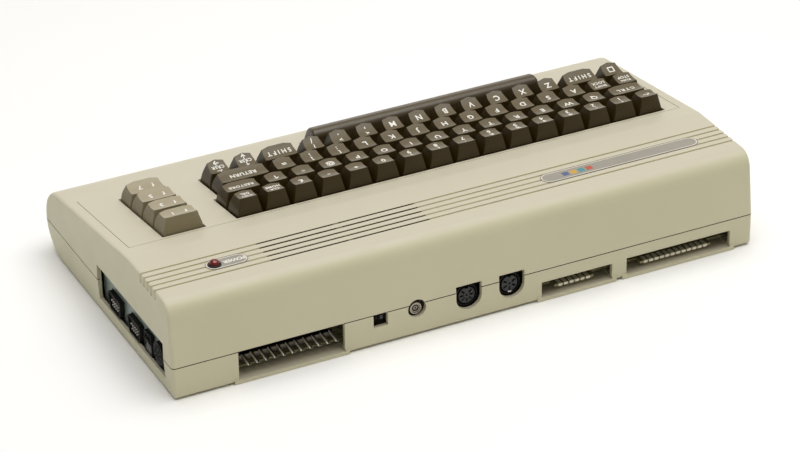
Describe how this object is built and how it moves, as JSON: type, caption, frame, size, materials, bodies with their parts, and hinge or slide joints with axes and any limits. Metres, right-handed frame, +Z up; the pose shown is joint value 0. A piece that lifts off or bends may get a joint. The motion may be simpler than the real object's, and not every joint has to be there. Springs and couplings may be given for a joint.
{
  "type": "vintage home computer",
  "caption": "Wedge-shaped home computer with a built-in full-travel keyboard, function keys, ribbed vents, rear and side ports and a lower and an upper case.",
  "frame": {"origin": "middle of the case's footprint, on the table under the feet", "axes": "+X to the user's right along the keyboard, -Y towards the user, +Y the wall with the ports, +Z up"},
  "size_m": [0.404, 0.216, 0.0758],
  "materials": {
    "case": "warm beige moulding with a fine satin texture",
    "key": "dark brown, satin tops",
    "function_key": "tan, satin tops",
    "black": "black moulding",
    "rocker": "black, slightly glossy",
    "rubber": "matt black",
    "steel": "plated sheet and screws",
    "tin": "tinned sleeve",
    "heat_sink": "plain",
    "board": "green coated board",
    "capacitor": "blue sleeves",
    "fuse": "clear tube",
    "pins": "plated pins",
    "port_plate": "grey-blue, matt",
    "plate": "warm grey, satin",
    "lamp": "red lens",
    "lead": "red sleeve",
    "cable": "grey ribbon"
  },
  "bodies": {
    "case": {"bottom_case": "case", "top_case": "case", "rubber_feet": "rubber", "case_screws": "steel", "main_board": "board", "board_screws": "steel", "chips": "black", "capacitors": "capacitor", "heat_sink": "heat_sink", "fuse": "fuse", "modulator_can": "steel", "antenna_jack": "tin", "channel_switch": "black", "av_socket": "black", "serial_socket": "black", "power_socket": "black", "power_switch": "black", "joystick_sockets": "black", "joystick_pins": "pins", "side_port_plate": "port_plate", "expansion_connector": "black", "cartridge_guard": "steel", "badge_plate": "plate", "lamp_plate": "plate", "lamp_bezel": "black", "power_lamp": "lamp", "lamp_lead": "lead", "keyboard_frame": "black", "keyboard_board": "board", "keyboard_screws": "steel", "keyboard_cable": "cable", "key_springs": "steel"},
    "channel_slider": {"channel_slider": "black"},
    "power_rocker": {"power_rocker": "rocker"},
    "left_arrow_key": {"left_arrow_key": "key"},
    "digit_keys": {"digit_keys": "key"},
    "sign_keys": {"sign_keys": "key"},
    "home_key": {"home_key": "key"},
    "delete_key": {"delete_key": "key"},
    "control_key": {"control_key": "key"},
    "upper_row_keys": {"upper_row_keys": "key"},
    "restore_key": {"restore_key": "key"},
    "stop_key": {"stop_key": "key"},
    "shift_lock_key": {"shift_lock_key": "key"},
    "middle_row_keys": {"middle_row_keys": "key"},
    "return_key": {"return_key": "key"},
    "symbol_key": {"symbol_key": "key"},
    "left_shift_key": {"left_shift_key": "key"},
    "lower_row_keys": {"lower_row_keys": "key"},
    "right_shift_key": {"right_shift_key": "key"},
    "cursor_down_key": {"cursor_down_key": "key"},
    "cursor_right_key": {"cursor_right_key": "key"},
    "space_bar": {"space_bar": "key"},
    "f1_key": {"f1_key": "function_key"},
    "f3_key": {"f3_key": "function_key"},
    "f5_key": {"f5_key": "function_key"},
    "f7_key": {"f7_key": "function_key"}
  },
  "joints": [
    {"name": "left_arrow_key_press", "type": "slide", "parent": "case", "child": "left_arrow_key", "axis": [0, -0.1305, 0.9914], "range_m": [-0.0038, 0], "stiffness_N_per_m": 100, "springref_m": 0.003},
    {"name": "digit_keys_press", "type": "slide", "parent": "case", "child": "digit_keys", "axis": [0, -0.1305, 0.9914], "range_m": [-0.0038, 0], "stiffness_N_per_m": 1000, "springref_m": 0.003},
    {"name": "sign_keys_press", "type": "slide", "parent": "case", "child": "sign_keys", "axis": [0, -0.1305, 0.9914], "range_m": [-0.0038, 0], "stiffness_N_per_m": 300, "springref_m": 0.003},
    {"name": "home_key_press", "type": "slide", "parent": "case", "child": "home_key", "axis": [0, -0.1305, 0.9914], "range_m": [-0.0038, 0], "stiffness_N_per_m": 100, "springref_m": 0.003},
    {"name": "delete_key_press", "type": "slide", "parent": "case", "child": "delete_key", "axis": [0, -0.1305, 0.9914], "range_m": [-0.0038, 0], "stiffness_N_per_m": 100, "springref_m": 0.003},
    {"name": "control_key_press", "type": "slide", "parent": "case", "child": "control_key", "axis": [0, -0.1305, 0.9914], "range_m": [-0.0038, 0], "stiffness_N_per_m": 100, "springref_m": 0.003},
    {"name": "upper_row_keys_press", "type": "slide", "parent": "case", "child": "upper_row_keys", "axis": [0, -0.1305, 0.9914], "range_m": [-0.0038, 0], "stiffness_N_per_m": 1300, "springref_m": 0.003},
    {"name": "restore_key_press", "type": "slide", "parent": "case", "child": "restore_key", "axis": [0, -0.1305, 0.9914], "range_m": [-0.0038, 0], "stiffness_N_per_m": 100, "springref_m": 0.003},
    {"name": "stop_key_press", "type": "slide", "parent": "case", "child": "stop_key", "axis": [0, -0.1305, 0.9914], "range_m": [-0.0038, 0], "stiffness_N_per_m": 100, "springref_m": 0.003},
    {"name": "shift_lock_key_press", "type": "slide", "parent": "case", "child": "shift_lock_key", "axis": [0, -0.1305, 0.9914], "range_m": [-0.0038, 0], "stiffness_N_per_m": 100, "springref_m": 0.003},
    {"name": "middle_row_keys_press", "type": "slide", "parent": "case", "child": "middle_row_keys", "axis": [0, -0.1305, 0.9914], "range_m": [-0.0038, 0], "stiffness_N_per_m": 1200, "springref_m": 0.003},
    {"name": "return_key_press", "type": "slide", "parent": "case", "child": "return_key", "axis": [0, -0.1305, 0.9914], "range_m": [-0.0038, 0], "stiffness_N_per_m": 100, "springref_m": 0.003},
    {"name": "symbol_key_press", "type": "slide", "parent": "case", "child": "symbol_key", "axis": [0, -0.1305, 0.9914], "range_m": [-0.0038, 0], "stiffness_N_per_m": 100, "springref_m": 0.003},
    {"name": "left_shift_key_press", "type": "slide", "parent": "case", "child": "left_shift_key", "axis": [0, -0.1305, 0.9914], "range_m": [-0.0038, 0], "stiffness_N_per_m": 100, "springref_m": 0.003},
    {"name": "lower_row_keys_press", "type": "slide", "parent": "case", "child": "lower_row_keys", "axis": [0, -0.1305, 0.9914], "range_m": [-0.0038, 0], "stiffness_N_per_m": 1000, "springref_m": 0.003},
    {"name": "right_shift_key_press", "type": "slide", "parent": "case", "child": "right_shift_key", "axis": [0, -0.1305, 0.9914], "range_m": [-0.0038, 0], "stiffness_N_per_m": 100, "springref_m": 0.003},
    {"name": "cursor_down_key_press", "type": "slide", "parent": "case", "child": "cursor_down_key", "axis": [0, -0.1305, 0.9914], "range_m": [-0.0038, 0], "stiffness_N_per_m": 100, "springref_m": 0.003},
    {"name": "cursor_right_key_press", "type": "slide", "parent": "case", "child": "cursor_right_key", "axis": [0, -0.1305, 0.9914], "range_m": [-0.0038, 0], "stiffness_N_per_m": 100, "springref_m": 0.003},
    {"name": "space_bar_press", "type": "slide", "parent": "case", "child": "space_bar", "axis": [0, -0.1305, 0.9914], "range_m": [-0.0038, 0], "stiffness_N_per_m": 300, "springref_m": 0.003, "deforming": ["key_springs"]},
    {"name": "f1_key_press", "type": "slide", "parent": "case", "child": "f1_key", "axis": [0, -0.1305, 0.9914], "range_m": [-0.0038, 0], "stiffness_N_per_m": 100, "springref_m": 0.003},
    {"name": "f3_key_press", "type": "slide", "parent": "case", "child": "f3_key", "axis": [0, -0.1305, 0.9914], "range_m": [-0.0038, 0], "stiffness_N_per_m": 100, "springref_m": 0.003},
    {"name": "f5_key_press", "type": "slide", "parent": "case", "child": "f5_key", "axis": [0, -0.1305, 0.9914], "range_m": [-0.0038, 0], "stiffness_N_per_m": 100, "springref_m": 0.003},
    {"name": "f7_key_press", "type": "slide", "parent": "case", "child": "f7_key", "axis": [0, -0.1305, 0.9914], "range_m": [-0.0038, 0], "stiffness_N_per_m": 100, "springref_m": 0.003},
    {"name": "power_switch_rock", "type": "hinge", "parent": "case", "child": "power_rocker", "pos_m": [0.1943, 0.0626, 0.0166], "axis": [0, 1, 0], "range_deg": [-18, 0]},
    {"name": "channel_switch_slide", "type": "slide", "parent": "case", "child": "channel_slider", "axis": [1, 0, 0], "range_m": [0, 0.0035]}
  ]
}
